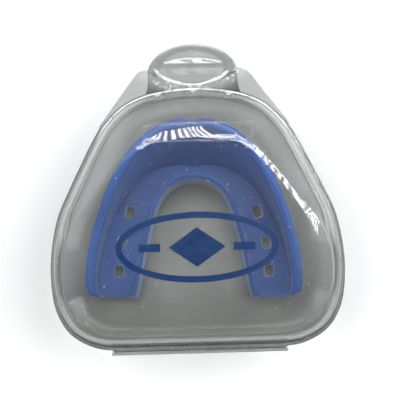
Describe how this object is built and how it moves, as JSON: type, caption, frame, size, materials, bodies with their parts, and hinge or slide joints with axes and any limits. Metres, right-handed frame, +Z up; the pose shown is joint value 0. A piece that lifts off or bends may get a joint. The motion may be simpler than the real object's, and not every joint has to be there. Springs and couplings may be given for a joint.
{
  "type": "mouthguard with case",
  "caption": "Clear hinged case with domed lid, thumb tab and living hinge, holding a U-shaped mouthguard with front wall, bite trough and drain holes.",
  "frame": {"origin": "centre of the overall footprint, on the surface the case stands on", "axes": "+Z up, +Y towards the thumb tab, -Y towards the living hinge, X across; the object mirrors left to right in X"},
  "size_m": [0.0856, 0.092, 0.0279],
  "materials": {
    "clear_case": "clear polypropylene, faintly smoky, glossy",
    "ink": "printed ink",
    "soft_blue": "satin EVA"
  },
  "bodies": {
    "base": {"base_shell": "clear_case", "base_rim": "clear_case", "snap_lugs": "clear_case", "thumb_tab": "clear_case", "hinge_base_leaf": "clear_case", "hinge_film": "clear_case"},
    "lid": {"lid_shell": "clear_case", "lid_rim": "clear_case", "hinge_lid_leaf": "clear_case", "printed_badge": "ink"},
    "guard": {"mouthguard": "soft_blue"}
  },
  "joints": [
    {"name": "lid_hinge", "type": "hinge", "parent": "base", "child": "lid", "pos_m": [0, -0.04582, 0.0144], "axis": [1, 0, 0], "range_deg": [0, 180], "deforming": ["hinge_film"]},
    {"name": "mouthguard_lift", "type": "slide", "parent": "base", "child": "guard", "axis": [0, 0, 1], "range_m": [0, 0.03]}
  ],
  "couplings": [
    {"joint": "mouthguard_lift", "follows": "lid_hinge", "m_per_rad": 0.0095}
  ]
}
